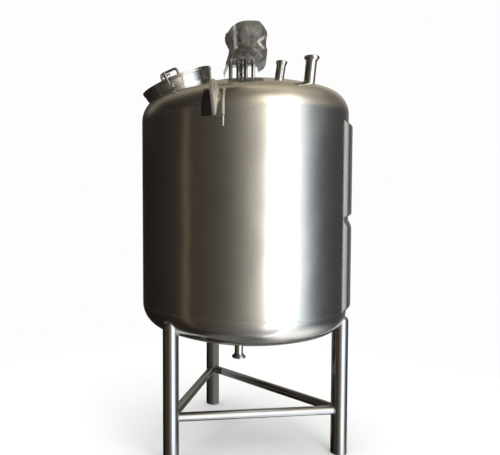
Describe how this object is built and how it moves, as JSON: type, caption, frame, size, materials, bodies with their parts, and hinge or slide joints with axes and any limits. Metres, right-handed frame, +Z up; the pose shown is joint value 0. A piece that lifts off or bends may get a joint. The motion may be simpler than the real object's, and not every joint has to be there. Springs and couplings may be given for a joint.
{
  "type": "jacketed mixing tank",
  "caption": "Stainless steel mixing tank on braced tube legs, with dished heads, a half-round heating jacket, a tilted hinged manway, ferrule nozzles and a wrapped top stirrer drive.",
  "frame": {"origin": "on the vessel's axis, at the level of the legs' feet", "axes": "+Z up, -Y towards the front that the picture shows, +X to the right, with the manway on the -X side"},
  "size_m": [1.221, 1.309, 2.4539],
  "materials": {
    "satin_steel": "satin, ground round the shell",
    "head_steel": "satin, ground in circles",
    "jacket_steel": "satin, with welded edges",
    "leg_steel": "fine ground tube",
    "polished_steel": "polished",
    "drive_paint": "dark semi-gloss paint",
    "clear_film": "clear wrinkled film"
  },
  "bodies": {
    "tank": {"shell_front": "satin_steel", "shell_right": "satin_steel", "shell_back": "satin_steel", "shell_left": "satin_steel", "top_head": "head_steel", "bottom_head": "head_steel", "jacket_upper": "jacket_steel", "jacket_lower": "jacket_steel", "leg_right": "leg_steel", "leg_left": "leg_steel", "leg_back": "leg_steel", "brace_front": "leg_steel", "brace_left": "leg_steel", "brace_right": "leg_steel", "lifting_lug_front": "satin_steel", "lifting_lug_back": "satin_steel", "lug_pad_front": "satin_steel", "lug_pad_back": "satin_steel", "manway_neck": "polished_steel", "hinge_bracket": "polished_steel", "hinge_pin": "polished_steel", "clamp_bracket": "polished_steel", "clamp_pin": "polished_steel", "inlet_nozzle": "polished_steel", "vent_nozzle": "polished_steel", "outlet_pipe": "polished_steel", "drive_base": "satin_steel", "lantern_post_1": "polished_steel", "lantern_post_2": "polished_steel", "lantern_post_3": "polished_steel", "lantern_post_4": "polished_steel", "drive_plate": "satin_steel", "gearbox": "drive_paint", "motor_body": "drive_paint", "fan_cowl": "drive_paint", "terminal_box": "drive_paint", "film_wrap": "clear_film"},
    "lid": {"manway_lid": "polished_steel", "lid_handle": "polished_steel", "lid_arm": "polished_steel", "lid_ear": "polished_steel"},
    "clamp": {"swing_bolt": "polished_steel", "hand_nut": "polished_steel"},
    "agitator": {"agitator_shaft": "polished_steel", "impeller": "polished_steel"}
  },
  "joints": [
    {"name": "lid_hinge", "type": "hinge", "parent": "tank", "child": "lid", "pos_m": [-0.35896, 0.16029, 2.20938], "axis": [-0.9331, 0.1429, -0.3301], "range_deg": [0, 105]},
    {"name": "clamp_swing", "type": "hinge", "parent": "tank", "child": "clamp", "pos_m": [-0.39293, -0.30421, 2.10426], "axis": [0.9331, -0.1429, 0.3301], "range_deg": [-30, 60]},
    {"name": "agitator_spin", "type": "hinge", "parent": "tank", "child": "agitator", "pos_m": [0, 0, 1.4], "axis": [0, 0, 1], "continuous": true}
  ]
}
